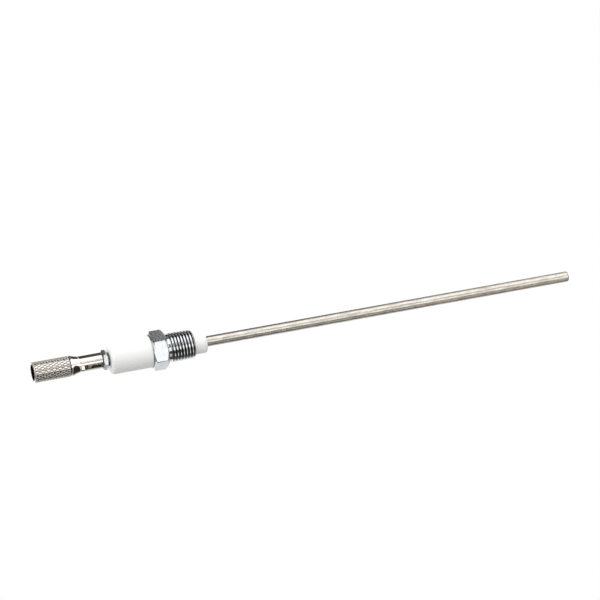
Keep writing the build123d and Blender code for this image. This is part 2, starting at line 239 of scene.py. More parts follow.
def add_node(tree, kind, inputs=None, **settings):
    """A shader node with its settings, and its inputs set to values or joined to sockets."""
    made = tree.nodes.new(kind)
    for key, value in settings.items():
        setattr(made, key, value)
    for key, value in (inputs or {}).items():
        if isinstance(value, bpy.types.NodeSocket):
            tree.links.new(value, made.inputs[key])
        else:
            made.inputs[key].default_value = value
    return made


def new_finish(name):
    """An empty material, its node tree and its shader."""
    finish = bpy.data.materials.new(name)
    finish.use_nodes = True
    tree = finish.node_tree
    shader = tree.nodes["Principled BSDF"]
    return finish, tree, shader


def pattern(tree, size, stretch=1.0, detail=4.0, roughness=0.55):
    """A noise whose grains are about size mm across, and stretch times as long along X."""
    place = add_node(tree, "ShaderNodeTexCoord").outputs["Object"]
    grain = 1 / (size * MM)
    scaled = add_node(
        tree,
        "ShaderNodeVectorMath",
        {0: place, 1: (grain / stretch, grain, grain)},
        operation="MULTIPLY",
    )
    noise = add_node(
        tree,
        "ShaderNodeTexNoise",
        {"Vector": scaled.outputs[0], "Scale": 1.0, "Detail": detail, "Roughness": roughness},
    )
    return noise.outputs["Fac"]


def spread(tree, value, low, high, start=0.3, end=0.7):
    """Turns a noise into a number between low and high."""
    return add_node(
        tree,
        "ShaderNodeMapRange",
        {"Value": value, "From Min": start, "From Max": end, "To Min": low, "To Max": high},
        clamp=True,
    ).outputs["Result"]


def mixed(tree, factor, first, second):
    """Two colours, mixed."""
    mix = add_node(tree, "ShaderNodeMix", data_type="RGBA")
    for socket, value in ((mix.inputs[0], factor), (mix.inputs[6], first), (mix.inputs[7], second)):
        if isinstance(value, bpy.types.NodeSocket):
            tree.links.new(value, socket)
        else:
            socket.default_value = value if isinstance(value, float) else (*value, 1.0)
    return mix.outputs[2]


def bumped(tree, heights):
    """A normal from (height, depth in mm) pairs, laid over one another."""
    normal = None
    for height, depth in heights:
        inputs = {"Height": height, "Distance": depth * MM, "Strength": 1.0}
        if normal:
            inputs["Normal"] = normal
        normal = add_node(tree, "ShaderNodeBump", inputs).outputs["Normal"]
    return normal


def metal(name, bright, dull, roughness, mottle, grain, depth, stretch=1.0, dark_tone=None):
    """A metal finish: bright and dull are its two tones, mottle and grain the sizes in mm of its
    patches and of its fine texture, depth the height of that texture, and roughness a pair.
    Where the mesh marks points to darken, their colour turns towards the last tone: this is painted
    shade in grooves, inside the connector and on shaded faces, and on the shell's lip only a darker
    band."""
    finish, tree, shader = new_finish(name)
    patches = pattern(tree, mottle, stretch)
    fine = pattern(tree, grain, stretch, detail=2.0)
    colour = mixed(tree, spread(tree, patches, 0.0, 1.0), bright, dull)
    rough = spread(tree, fine, *roughness, start=0.25, end=0.75)
    if dark_tone:
        darkening = add_node(tree, "ShaderNodeAttribute", attribute_name="darkening").outputs["Fac"]
        dark_share = spread(tree, darkening, 0.0, 0.92, start=0.2, end=0.9)
        colour = mixed(tree, dark_share, colour, dark_tone)
    tree.links.new(colour, shader.inputs["Base Color"])
    tree.links.new(rough, shader.inputs["Roughness"])
    tree.links.new(bumped(tree, [(patches, depth), (fine, depth / 2)]), shader.inputs["Normal"])
    shader.inputs["Metallic"].default_value = 1.0
    return finish


def stone(name, light, dark, roughness, grain, depth, coat=0.0):
    """A ceramic or cement finish."""
    finish, tree, shader = new_finish(name)
    patches = pattern(tree, grain * 8)
    fine = pattern(tree, grain, detail=3.0)
    colour = mixed(tree, spread(tree, patches, 0.0, 1.0), light, dark)
    tree.links.new(colour, shader.inputs["Base Color"])
    tree.links.new(spread(tree, fine, *roughness), shader.inputs["Roughness"])
    tree.links.new(bumped(tree, [(fine, depth)]), shader.inputs["Normal"])
    shader.inputs["Coat Weight"].default_value = coat
    shader.inputs["Coat Roughness"].default_value = 0.25
    return finish


zinc_bright = metal(
    "zinc_plate",
    bright=(0.74, 0.77, 0.79),
    dull=(0.60, 0.62, 0.64),
    roughness=(0.04, 0.13),
    mottle=0.9,
    grain=0.35,
    depth=0.035,
    dark_tone=(0.03, 0.025, 0.022),
)
zinc_thread = metal(
    "zinc_plate_thread",
    bright=(0.76, 0.78, 0.80),
    dull=(0.64, 0.66, 0.68),
    roughness=(0.04, 0.10),
    mottle=0.9,
    grain=0.35,
    depth=0.005,
    dark_tone=(0.03, 0.025, 0.022),
)
zinc_steel = metal(
    "zinc_steel",
    bright=(0.76, 0.79, 0.81),
    dull=(0.54, 0.58, 0.60),
    roughness=(0.20, 0.36),
    mottle=0.6,
    grain=0.2,
    depth=0.02,
    dark_tone=(0.05, 0.045, 0.04),
)
nickel = metal(
    "nickel_plate",
    bright=(0.80, 0.77, 0.73),
    dull=(0.72, 0.68, 0.63),
    roughness=(0.05, 0.11),
    mottle=1.6,
    grain=0.3,
    depth=0.003,
    dark_tone=(0.07, 0.055, 0.045),
)
rod_alloy = metal(
    "rod_alloy",
    bright=(0.76, 0.73, 0.67),
    dull=(0.46, 0.43, 0.38),
    roughness=(0.16, 0.32),
    mottle=0.9,
    grain=0.4,
    depth=0.02,
    stretch=5,
)
spring_bronze = metal(
    "spring_bronze",
    bright=(0.74, 0.71, 0.66),
    dull=(0.60, 0.56, 0.50),
    roughness=(0.28, 0.42),
    mottle=0.8,
    grain=0.2,
    depth=0.004,
)
brass = metal(
    "plated_brass",
    bright=(0.70, 0.62, 0.46),
    dull=(0.58, 0.48, 0.32),
    roughness=(0.18, 0.32),
    mottle=0.8,
    grain=0.2,
    depth=0.005,
)
spring_steel = metal(
    "spring_steel",
    bright=(0.26, 0.25, 0.24),
    dull=(0.14, 0.135, 0.13),
    roughness=(0.25, 0.40),
    mottle=0.8,
    grain=0.2,
    depth=0.006,
)
# The stud is near black as painted shade, so the inside of the connector looks black through the
# window.
black_stud_shade = metal(
    "brass_darkened_for_shade",
    bright=(0.20, 0.18, 0.14),
    dull=(0.11, 0.10, 0.08),
    roughness=(0.22, 0.38),
    mottle=0.8,
    grain=0.2,
    depth=0.006,
)
copper = metal(
    "copper",
    bright=(0.80, 0.46, 0.32),
    dull=(0.60, 0.31, 0.20),
    roughness=(0.25, 0.42),
    mottle=0.8,
    grain=0.2,
    depth=0.006,
)
ceramic = stone(
    "white_ceramic",
    light=(0.93, 0.93, 0.92),
    dark=(0.90, 0.90, 0.885),
    roughness=(0.42, 0.55),
    grain=0.18,
    depth=0.004,
    coat=0.15,
)
cement = stone(
    "cement",
    light=(0.72, 0.70, 0.64),
    dark=(0.58, 0.56, 0.50),
    roughness=(0.75, 0.95),
    grain=0.12,
    depth=0.03,
)


# Shell with hexagon and taper pipe thread ---------------------------------------------------

HEX_EDGE = 0.45  # radius on the hexagon's six long edges
HEX_EASE = 0.14  # ease of the edges between the flats and the chamfers
BACK_FACE = 7.8  # radius of the flat face next to the ceramic
BACK_SLOPE = 1.82  # rise of the chamfer for each mm along X
FRONT_FACE = 6.85
FRONT_SLOPE = 1.323
HEX_BACK = -7.25
LIP_RADIUS = 7.6
# How much darker the colour is on the lip and back face behind the hexagon.
LIP_DARK_LEVEL = 0.5
SEAT_RADIUS = 7.2
SEAT_X = -3.3
SHELL_BORE = 5.05
NECK_RADIUS = 6.3
NECK_END = 1.0
CREST_RADIUS = 6.7
CREST_TAPER_START = 5.94
THREAD_PITCH = 25.4 / 18
THREAD_TAPER = 1 / 32  # rise of the cone on each side
THREAD_ROOT_END = 5.7
THREAD_ROOM = 0.2  # how far below the crests the end chamfer begins
THREAD_CHAMFER = 0.7
THREAD_PHASE = 1.07  # place on X of a groove's middle at angle 0
THREAD_STEP = 0.05
THREAD_SHADE_DEPTH = 0.7  # depth below the crests where the painted shade is full
RUNOUT = 0.9  # nearer to the hexagon than this the groove gets shallower
RUNOUT_SLOPE = 1.2
ROOT_FLAT = 0.05
CREST_BLEND = 0.12
BORE_CHAMFER = 0.15
BORE_MARGIN = 0.2
FLANK = math.tan(math.radians(26))


def hex_radius(angle, flat, edge, turn=0.0):
    """Distance from X to a hexagon whose corners are rounded to the radius edge."""
    off_corner = math.radians(abs((angle - turn + 30) % 60 - 30))
    centre = (flat - edge) / math.cos(math.radians(30))
    arc_end = math.radians(30) - math.atan((flat - edge) * math.tan(math.radians(30)) / flat)
    if off_corner < arc_end:
        across = centre * math.sin(off_corner)
        return centre * math.cos(off_corner) + math.sqrt(edge**2 - across**2)
    return flat / math.cos(math.radians(30) - off_corner)


def hex_angles(count, turn=0.0):
    """Even angles, with more of them on the rounded corners."""
    corners = [corner * 60 + turn for corner in range(6)]
    beside = (-1.2, -0.8, -0.4, 0.4, 0.8, 1.2)
    extra = [(corner + step) % 360 for corner in corners for step in beside]
    even = [(angle + turn) % 360 for angle in regular_angles(count)]
    return sorted(set(even + extra))


shell_back, shell_front, shell_flat = extent("hex_shell")


def crest_radius(x):
    """Radius of the blank that the thread is cut in."""
    step_up = NECK_RADIUS + max(x - NECK_END, 0)
    crest = CREST_RADIUS - max(x - CREST_TAPER_START, 0) * THREAD_TAPER
    chamfer_start = CREST_RADIUS - THREAD_ROOM + THREAD_CHAMFER * THREAD_TAPER
    chamfer = chamfer_start - (x - shell_front + THREAD_CHAMFER)
    return min(step_up, crest, chamfer)


def thread_radius(x, angle):
    """Radius of the threaded end, with its V groove and the groove's run-out."""
    turns = (x - THREAD_PHASE) / THREAD_PITCH - angle / 360
    off_groove = abs(turns - round(turns)) * THREAD_PITCH
    root = THREAD_ROOT_END + (shell_front - x) * THREAD_TAPER + max(RUNOUT - x, 0) * RUNOUT_SLOPE
    flank = root + max(off_groove - ROOT_FLAT, 0) / FLANK
    return soft_min(crest_radius(x), flank, CREST_BLEND)


thread_places = stations(0, shell_front, THREAD_STEP)


def shell_outline(angle):
    flat = hex_radius(angle, shell_flat, HEX_EDGE)
    back_edge = HEX_BACK + (flat - BACK_FACE) / BACK_SLOPE
    front_edge = -(flat - FRONT_FACE) / FRONT_SLOPE
    outside = eased(
        [
            (SEAT_X, SHELL_BORE, 0.05),
            (SEAT_X, SEAT_RADIUS, 0),
            (shell_back, SEAT_RADIUS, 0.05),
            (shell_back, LIP_RADIUS, 0.2),
            (HEX_BACK, LIP_RADIUS, 0),
            (HEX_BACK, BACK_FACE, 0.04),
            (back_edge, flat, HEX_EASE),
            (front_edge, flat, HEX_EASE),
            (0, FRONT_FACE, 0.12),
            (0, NECK_RADIUS, 0),
        ]
    )[:-1]
    threaded = [(x, thread_radius(x, angle)) for x in thread_places]
    bore_edge = [
        (shell_front, SHELL_BORE + BORE_CHAMFER),
        (shell_front - BORE_CHAMFER, SHELL_BORE),
    ]
    return outside + threaded + bore_edge


shell = turned("hex_shell_fine", shell_outline, hex_angles(240), relief=True)


def shell_shade_and_lip(x, r, angle):
    """Painted shade darkens the thread's groove, more the deeper it is; round the lip behind the
    hexagon the colour is darker too.
    """
    if x > 0:
        if r <= SHELL_BORE + BORE_MARGIN:
            return 0.0
        return min(max((crest_radius(x) - r) / THREAD_SHADE_DEPTH, 0), 1)
    return LIP_DARK_LEVEL if x < HEX_BACK + 0.01 else 0.0


mark(shell, "darkening", shell_shade_and_lip)
fit(shell, "hex_shell", "probe", zinc_bright)
shell.data.materials.append(zinc_thread)
for face in shell.data.polygons:
    face.material_index = 1 if face.center.x > 0 else 0


# Ceramic insulator --------------------------------------------------------------------------

ceramic_back, nose_end, ceramic_radius = extent("insulator")
SHOULDER_X = -4.0
NOSE_RADIUS = 4.95
CEMENT_SPAN = (-2.0, 9.5)
CEMENT_GROOVE = 4.3
ROD_HOLE = 2.3
ROD_STEP = -20.5
TAIL_HOLE = 1.9
CERAMIC_BACK_EASE = 1.7
NOSE_EASE = 1.5


def insulator_outline(angle):
    return eased(
        [
            (ceramic_back, TAIL_HOLE, 0.2),
            (ceramic_back, ceramic_radius, CERAMIC_BACK_EASE),
            (SHOULDER_X, ceramic_radius, 0.3),
            (SHOULDER_X, NOSE_RADIUS, 0.2),
            (CEMENT_SPAN[0], NOSE_RADIUS, 0.1),
            (CEMENT_SPAN[0], CEMENT_GROOVE, 0),
            (CEMENT_SPAN[1], CEMENT_GROOVE, 0),
            (CEMENT_SPAN[1], NOSE_RADIUS, 0.1),
            (nose_end, NOSE_RADIUS, NOSE_EASE),
            (nose_end, ROD_HOLE, 0.1),
            (ROD_STEP, ROD_HOLE, 0),
            (ROD_STEP, TAIL_HOLE, 0),
        ],
        steps=6,
    )


fit(
    turned("insulator_fine", insulator_outline, regular_angles(144)),
    "insulator",
    "probe",
    ceramic,
)


# Electrode rod ------------------------------------------------------------------------------

tail_end, rod_tip, rod_radius = extent("electrode_rod")
ROD_SEAT = 2.2
ROD_SHOULDER = -20.0
TAIL_RADIUS = 1.7525


def rod_outline(angle):
    return eased(
        [
            (tail_end, 0, 0),
            (tail_end, TAIL_RADIUS, 0.4),
            (ROD_SHOULDER, TAIL_RADIUS, 0),
            (ROD_SHOULDER, ROD_SEAT, 0.1),
            (nose_end, ROD_SEAT, 0),
            (nose_end, rod_radius, 0.05),
            (rod_tip, rod_radius, 0.7),
            (rod_tip, 0, 0),
        ],
        steps=5,
    )


fit(
    turned("electrode_rod_fine", rod_outline, regular_angles(96)),
    "electrode_rod",
    "probe",
    rod_alloy,
)


# Terminal nut, washer and stud --------------------------------------------------------------

nut_back, nut_front, _ = extent("terminal_nut")
NUT_FLAT = 3.97
NUT_FACE = 3.72
NUT_SLOPE = 1.9
NUT_TURN = -5
NUT_BORE = 1.8
NUT_EDGE = 0.15
NUT_BORE_CHAMFER = 0.2
NUT_SHADE_LEVEL = 0.75  # painted shade on the face that the connector's mouth shades


def nut_outline(angle):
    flat = hex_radius(angle, NUT_FLAT, NUT_EDGE, NUT_TURN)
    chamfer = (flat - NUT_FACE) / NUT_SLOPE
    return eased(
        [
            (nut_back, NUT_BORE + NUT_BORE_CHAMFER, 0.05),
            (nut_back, NUT_FACE, 0.05),
            (nut_back + chamfer, flat, 0.1),
            (nut_front - chamfer, flat, 0.1),
            (nut_front, NUT_FACE, 0.05),
            (nut_front, NUT_BORE + NUT_BORE_CHAMFER, 0.05),
            (nut_front - NUT_BORE_CHAMFER, NUT_BORE, 0),
            (nut_back + NUT_BORE_CHAMFER, NUT_BORE, 0),
        ]
    )


# Painted shade on the nut's face next to the connector's mouth.
def nut_painted_shade(x, r, angle):
    return NUT_SHADE_LEVEL if x < nut_back + 0.2 and r < NUT_FLAT + 0.05 else 0.0


nut = turned("terminal_nut_fine", nut_outline, hex_angles(120, NUT_TURN))
mark(nut, "darkening", nut_painted_shade)
fit(nut, "terminal_nut", "probe", zinc_steel)

stud_back, stud_front, stud_radius = extent("terminal_stud")
STUD_WAIST = 2.3
STUD_NOSE = 1.9
STUD_HEAD = (-37.6, -34.7)
STUD_NECK = (-33.7, -31.8)
STUD_FLANGE = -31.2
STUD_BORE = 1.8
STUD_BORE_END = -37.5


def stud_outline(angle):
    return eased(
        [
            (stud_back, 0, 0),
            (stud_back, STUD_NOSE, 0.4),
            (STUD_HEAD[0], stud_radius, 0.3),
            (STUD_HEAD[1], stud_radius, 0.3),
            (STUD_NECK[0], STUD_WAIST, 0.3),
            (STUD_NECK[1], STUD_WAIST, 0.3),
            (STUD_FLANGE, stud_radius, 0.15),
            (stud_front, stud_radius, 0.08),
            (stud_front, STUD_BORE, 0.05),
            (STUD_BORE_END, STUD_BORE, 0),
            (STUD_BORE_END, 0, 0),
        ]
    )


fit(
    turned("terminal_stud_fine", stud_outline, regular_angles(72)),
    "terminal_stud",
    "probe",
    black_stud_shade,
)


# Push-on connector --------------------------------------------------------------------------

shank_end, mouth, collar_radius = extent("connector_body")
TUBE_RADIUS = 3.65
TUBE_INSIDE = 3.15
MOUTH_INSIDE = 2.95
MOUTH_LIP = 0.23
TUBE_FLOOR = -41.1
CONE_START = -40.74
CONE_END = -44.15
CONE_CURVE = 1.2  # over 1, the flare is hollow
COLLAR_END = -44.92
SHANK_RADIUS = 3.65
SHANK_INSIDE = 2.8
SHANK_FLOOR = -45.4
CONTACT_HOLE = 1.0
WINDOW = (-40.15, -30.6)
WINDOW_CENTRE = 180
WINDOW_SPAN = 40
TAB_TIP = -37.4
TAB_HALF = 0.9
TAB_THICKNESS = 0.32
TAB_DROP = 0.7
TAB_ROOT = 0.3
TAB_BEND = 0.6  # share of its length where the tongue turns inwards
TAB_TWIST = 0.53  # how much deeper the tongue lies for each mm towards its upper edge
TAB_SINK = 0.03

connector_sections = (
    [
        (shank_end, SHANK_RADIUS - 0.15, SHANK_INSIDE + 0.15),
        (shank_end + 0.15, SHANK_RADIUS, SHANK_INSIDE),
    ]
    + [(x, SHANK_RADIUS, SHANK_INSIDE) for x in stations(-50.0, SHANK_FLOOR - 0.1, 0.9)]
    + [
        (SHANK_FLOOR + 0.05, SHANK_RADIUS, CONTACT_HOLE),
        (COLLAR_END - 0.02, SHANK_RADIUS, CONTACT_HOLE),
        (COLLAR_END + 0.02, collar_radius - 0.22, CONTACT_HOLE),
        (COLLAR_END + 0.18, collar_radius - 0.1, CONTACT_HOLE),
        (COLLAR_END + 0.4, collar_radius - 0.02, CONTACT_HOLE),
        (COLLAR_END + 0.6, collar_radius, CONTACT_HOLE),
        (CONE_END, collar_radius - 0.03, CONTACT_HOLE),
        (CONE_END + 0.12, collar_radius - 0.08, CONTACT_HOLE),
    ]
)


def cone_radius(x):
    """Radius of the flare between the tube and the collar."""
    share = (CONE_START - x) / (CONE_START - CONE_END)
    return TUBE_RADIUS + (collar_radius - TUBE_RADIUS) * share**CONE_CURVE


connector_sections += [
    (x, cone_radius(x), CONTACT_HOLE) for x in stations(CONE_END + 0.3, TUBE_FLOOR - 0.1, 0.3)
]
connector_sections += [
    (TUBE_FLOOR, cone_radius(TUBE_FLOOR), TUBE_INSIDE),
    (CONE_START, TUBE_RADIUS, TUBE_INSIDE),
    (CONE_START + 0.3, TUBE_RADIUS, TUBE_INSIDE),
]
connector_sections += [(x, TUBE_RADIUS, TUBE_INSIDE) for x in stations(*WINDOW, 0.6)]
connector_sections += [
    (mouth - MOUTH_LIP - 0.02, TUBE_RADIUS, TUBE_INSIDE),
    (mouth - MOUTH_LIP + 0.02, TUBE_RADIUS, MOUTH_INSIDE),
    (mouth - 0.1, TUBE_RADIUS, MOUTH_INSIDE),
    (mouth, TUBE_RADIUS - 0.1, MOUTH_INSIDE),
]


def in_window(x, angle):
    off_centre = abs((angle - WINDOW_CENTRE + 180) % 360 - 180)
    return WINDOW[0] < x < WINDOW[1] and off_centre < WINDOW_SPAN / 2


window_edges = [WINDOW_CENTRE - WINDOW_SPAN / 2, WINDOW_CENTRE + WINDOW_SPAN / 2]
connector_angles = sorted(set(regular_angles(120) + window_edges))
connector = pierced("connector_body_fine", connector_sections, connector_angles, in_window)


def tongue(name):
    """The tongue that is lanced from the window and pushed in, which stops the spring cage."""
    points, faces = [], []
    along, across = 16, 10
    lower_edge = math.sqrt(TUBE_RADIUS**2 - TAB_HALF**2)
    for k in range(along + 1):
        share = k / along
        x = WINDOW[0] - TAB_ROOT + (TAB_TIP - WINDOW[0] + TAB_ROOT) * share
        drop = TAB_SINK + TAB_DROP * max(share - TAB_BEND, 0) / (1 - TAB_BEND)
        for side in (0, 1):
            for j in range(across + 1):
                w = TAB_HALF * (2 * j / across - 1)
                skin = lower_edge - TAB_TWIST * (TAB_HALF - w) - drop - side * TAB_THICKNESS
                turn = math.radians(WINDOW_CENTRE)
                y = skin * math.cos(turn) - w * math.sin(turn)
                z = skin * math.sin(turn) + w * math.cos(turn)
                points.append((x * MM, y * MM, z * MM))
    width = across + 1
    ring = list(range(width)) + [width + j for j in reversed(range(width))]
    for k in range(along):
        base, after = k * 2 * width, (k + 1) * 2 * width
        for a, b in zip(ring, ring[1:] + ring[:1]):
            faces.append((base + a, base + b, after + b, after + a))
    faces += [tuple(ring), tuple(along * 2 * width + v for v in reversed(ring))]
    return new_mesh(name, points, faces)


# Painted shade: the whole inside of the tube is darkened.
mark(connector, "darkening", lambda x, r, angle: 1.0 if r < TUBE_INSIDE + 0.05 else 0.0)
tab = tongue("tongue")
bpy.ops.object.select_all(action="DESELECT")
tab.select_set(True)
connector.select_set(True)
bpy.context.view_layer.objects.active = connector
bpy.ops.object.join()
soften(connector)
fit(connector, "connector_body", "connector", nickel)


# Spring cage --------------------------------------------------------------------------------

cage_back, cage_front, cage_radius = extent("cage_spring")
CAGE_THICKNESS = 0.2
CAGE_WAIST = 2.6
CAGE_BACK_HOOP = -35.6
CAGE_FRONT_HOOP = -31.0
CAGE_WAIST_SPAN = (-33.0, -32.3)
CAGE_SLOTS = 6
CAGE_SLOT_SPAN = 38
CAGE_SLOT_TURN = 200
CAGE_SEAM = 50
CAGE_SEAM_SPAN = 6


def cage_skin(x):
    """Outside radius of the cage, which narrows to a waist that holds the stud's neck."""
    if x < CAGE_WAIST_SPAN[0]:
        share = (x - CAGE_BACK_HOOP) / (CAGE_WAIST_SPAN[0] - CAGE_BACK_HOOP)
    else:
        share = (CAGE_FRONT_HOOP - x) / (CAGE_FRONT_HOOP - CAGE_WAIST_SPAN[1])
    share = min(max(share, 0), 1)
    return cage_radius - (cage_radius - CAGE_WAIST) * share * share * (3 - 2 * share)


cage_places = (
    stations(cage_back, CAGE_BACK_HOOP, 0.4)
    + stations(CAGE_BACK_HOOP, CAGE_WAIST_SPAN[0], 0.26)[1:]
    + stations(*CAGE_WAIST_SPAN, 0.35)[1:]
    + stations(CAGE_WAIST_SPAN[1], CAGE_FRONT_HOOP, 0.22)[1:]
    + [cage_front]
)
cage_slots = [(CAGE_SLOT_TURN + slot * 360 / CAGE_SLOTS) % 360 for slot in range(CAGE_SLOTS)]
cage_edges = [(slot + side * CAGE_SLOT_SPAN / 2) % 360 for slot in cage_slots for side in (-1, 1)]
cage_edges += [CAGE_SEAM - CAGE_SEAM_SPAN / 2, CAGE_SEAM + CAGE_SEAM_SPAN / 2]


def in_slot(x, angle):
    at_seam = abs((angle - CAGE_SEAM + 180) % 360 - 180) < CAGE_SEAM_SPAN / 2
    in_strips = CAGE_BACK_HOOP < x < CAGE_WAIST_SPAN[0] or CAGE_WAIST_SPAN[1] < x < CAGE_FRONT_HOOP
    nearest = min(abs((angle - slot + 180) % 360 - 180) for slot in cage_slots)
    return at_seam or (in_strips and nearest < CAGE_SLOT_SPAN / 2)


cage = pierced(
    "cage_spring_fine",
    [(x, cage_skin(x), cage_skin(x) - CAGE_THICKNESS) for x in cage_places],
    sorted(set(regular_angles(72) + cage_edges)),
    in_slot,
)
soften(cage, width=0.02)
fit(cage, "cage_spring", "snap_spring", spring_bronze)


# Contact point ------------------------------------------------------------------------------

contact_tip, contact_end, contact_head = extent("contact_point")
CONTACT_RADIUS = 0.95
CONTACT_POINT = 2.6


def contact_outline(angle):
    return eased(
        [
            (contact_tip, 0, 0),
            (contact_tip + 0.15, 0.08, 0.05),
            (contact_tip + CONTACT_POINT, CONTACT_RADIUS, 0.3),
            (TUBE_FLOOR, CONTACT_RADIUS, 0),
            (TUBE_FLOOR, contact_head, 0.1),
            (contact_end, contact_head, 0.25),
            (contact_end, 0, 0),
        ]
    )


fit(
    turned("contact_point_fine", contact_outline, regular_angles(48)),
    "contact_point",
    "connector",
    brass,
)


# Knurled ferrule ----------------------------------------------------------------------------

ferrule_back, ferrule_front, ferrule_radius = extent("knurled_ferrule")
FERRULE_BORE = 3.725
FERRULE_CHAMFER = 0.3
FERRULE_RIM = 0.25
GRIP_GROOVE = 4.1
GRIP_GROOVE_SPAN = (-54.1, -51.4)
KNURL_STARTS = 22
KNURL_PERIOD = 2.63
KNURL_DEPTH = 0.26
KNURL_LAND = 0.75  # share of the flat pads between two grooves
KNURL_EDGE = 24  # edges that turn by more degrees than this stay sharp
KNURL_STEPS = 16  # mesh columns, and rows, for each groove
KNURL_FADE = 0.2
FRONT_EDGE_SHADE = 0.2  # length of the band of painted shade at the front edge
# Share of the painted shade that follows the grooves; the rest darkens only where they cross.
GROOVE_SHADE = 0.95


def groove(turns):
    """0 on the pad between two grooves, rising to 1 in a groove."""
    return max(abs(2 * (turns % 1) - 1) - KNURL_LAND, 0) / (1 - KNURL_LAND)


def knurl(x, angle):
    """How deep each of the two crossed grooves is at a place, from 0 to 1. They fade out at the
    plain rims."""
    turns = KNURL_STARTS * angle / 360
    along = (x - ferrule_back) / KNURL_PERIOD
    inward = min(x - ferrule_back - FERRULE_RIM, ferrule_front - FERRULE_RIM - x)
    fade = min(max(inward / KNURL_FADE, 0), 1)
    return fade * groove(turns + along), fade * groove(turns - along)


def ferrule_skin(x):
    """Radius of the ferrule's blank, with its end chamfers."""
    inward = min(x - ferrule_back, ferrule_front - x)
    return ferrule_radius - max(FERRULE_CHAMFER - inward, 0)


ferrule_places = sorted(
    [ferrule_back, ferrule_back + FERRULE_RIM, ferrule_front - FERRULE_RIM, ferrule_front]
    + [
        x
        for x in (ferrule_back + step * KNURL_PERIOD / KNURL_STEPS for step in range(2, 300))
        if x < ferrule_front - FERRULE_RIM - 0.05
    ]
)


def ferrule_outline(angle):
    outside = [(x, ferrule_skin(x) - KNURL_DEPTH * max(knurl(x, angle))) for x in ferrule_places]
    inside = eased(
        [
            (ferrule_front, FERRULE_BORE, 0.1),
            (GRIP_GROOVE_SPAN[1], FERRULE_BORE, 0.05),
            (GRIP_GROOVE_SPAN[1], GRIP_GROOVE, 0),
            (GRIP_GROOVE_SPAN[0], GRIP_GROOVE, 0),
            (GRIP_GROOVE_SPAN[0], FERRULE_BORE, 0.05),
            (ferrule_back, FERRULE_BORE, 0.15),
        ]
    )
    return outside + inside


ferrule_angles = regular_angles(KNURL_STARTS * KNURL_STEPS)
ferrule = turned("knurled_ferrule_fine", ferrule_outline, ferrule_angles, relief=True)
ferrule.data.set_sharp_from_angle(angle=math.radians(KNURL_EDGE))


def ferrule_painted_shade(x, r, angle):
    """Painted shade darkens the grooves, most where they cross, and the ferrule's front edge."""
    if x > ferrule_front - FRONT_EDGE_SHADE:
        return 1.0
    if r < ferrule_skin(x) - KNURL_DEPTH - 0.01:
        return 0.0
    first, second = knurl(x, angle)
    return GROOVE_SHADE * min(2 * max(first, second), 1) + (1 - GROOVE_SHADE) * first * second


mark(ferrule, "darkening", ferrule_painted_shade)
fit(ferrule, "knurled_ferrule", "ferrule", nickel)


# CAD pieces that keep their shape -----------------------------------------------------------

for node, finish in (
    ("seat_gasket", copper),
    ("rod_seal_washer", copper),
    ("bonding_cement", cement),
    ("lock_washer", spring_steel),
    ("cable_grip_ring", brass),
):
    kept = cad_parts[node]
    kept.data.materials.clear()
    kept.data.materials.append(finish)
for node in ("lock_washer", "cable_grip_ring"):
    soften(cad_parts[node], width=0.04)


# Floor, studio light and camera -------------------------------------------------------------

FLOOR_Z = -0.12
FLOOR_HALF = 4.0

floor_mesh = bpy.data.meshes.new("floor")
floor_mesh.from_pydata(
    [(x * FLOOR_HALF, y * FLOOR_HALF, FLOOR_Z) for x, y in ((-1, -1), (1, -1), (1, 1), (-1, 1))],
    [],
    [(0, 1, 2, 3)],
)
floor = bpy.data.objects.new("floor", floor_mesh)
bpy.context.scene.collection.objects.link(floor)
floor_finish, _, floor_shader = new_finish("floor_white")
floor_shader.inputs["Base Color"].default_value = (0, 0, 0, 1)
floor_shader.inputs["Specular IOR Level"].default_value = 0
floor_shader.inputs["Emission Color"].default_value = (1, 1, 1, 1)
floor_shader.inputs["Emission Strength"].default_value = 1.0
floor_mesh.materials.append(floor_finish)
floor.visible_glossy = False
floor.visible_diffuse = False
floor.visible_shadow = False

# The studio round the object, as polished metal mirrors it: brightness and tint at angles about X,
# from the front horizon (0) over the top (90) to the back (180), and under it to the back again
# (-180). This is no plain soft light: the lists were set so that the bands on the metal fall
# where the photograph has them. From the photograph's side the terminal mirrors the first list,
# the shell, whose reflections point further to the right, the second, and the rod the third.
WHITE = (1.0, 1.0, 1.0)
WARM = (1.0, 0.93, 0.86)
COOL = (0.93, 1.0, 1.03)
BROWN = (1.0, 0.8, 0.66)
STUDIO_LEFT = (
    (-180, 0.05, BROWN),
    (-166, 0.10, BROWN),
    (-152, 1.20, WHITE),
    (-120, 1.20, WHITE),
    (-98, 0.85, WHITE),
    (-84, 0.60, WHITE),
    (-72, 0.08, WARM),
    (-8, 0.03, WARM),
    (7, 0.05, WARM),
    (12, 1.2, WHITE),
    (20, 1.55, WHITE),
    (33, 1.50, WHITE),
    (38, 0.62, WARM),
    (47, 0.62, WARM),
    (52, 1.50, WHITE),
    (90, 1.60, WHITE),
    (112, 1.45, WHITE),
    (118, 0.40, WARM),
    (123, 0.05, BROWN),
    (179, 0.05, BROWN),
)
STUDIO_RIGHT = (
    (-180, 0.02, WARM),
    (-150, 0.04, WARM),
    (-130, 0.90, WHITE),
    (-112, 0.98, WHITE),
    (-92, 0.92, WHITE),
    (-76, 0.85, COOL),
    (-68, 0.05, WARM),
    (-42, 0.05, WARM),
    (-34, 0.85, COOL),
    (-18, 0.85, COOL),
    (-9, 0.02, WARM),
    (9, 0.02, WARM),
    (15, 1.2, WHITE),
    (20, 1.25, WHITE),
    (29, 1.25, WHITE),
    (38, 1.50, WHITE),
    (42, 0.01, WARM),
    (69, 0.01, WARM),
    (73, 1.60, WHITE),
    (116, 1.60, WHITE),
    (124, 0.04, WARM),
    (134, 0.04, WARM),
    (139, 0.38, WHITE),
    (149, 0.38, WHITE),
    (154, 0.04, WARM),
    (179, 0.04, WARM),
)
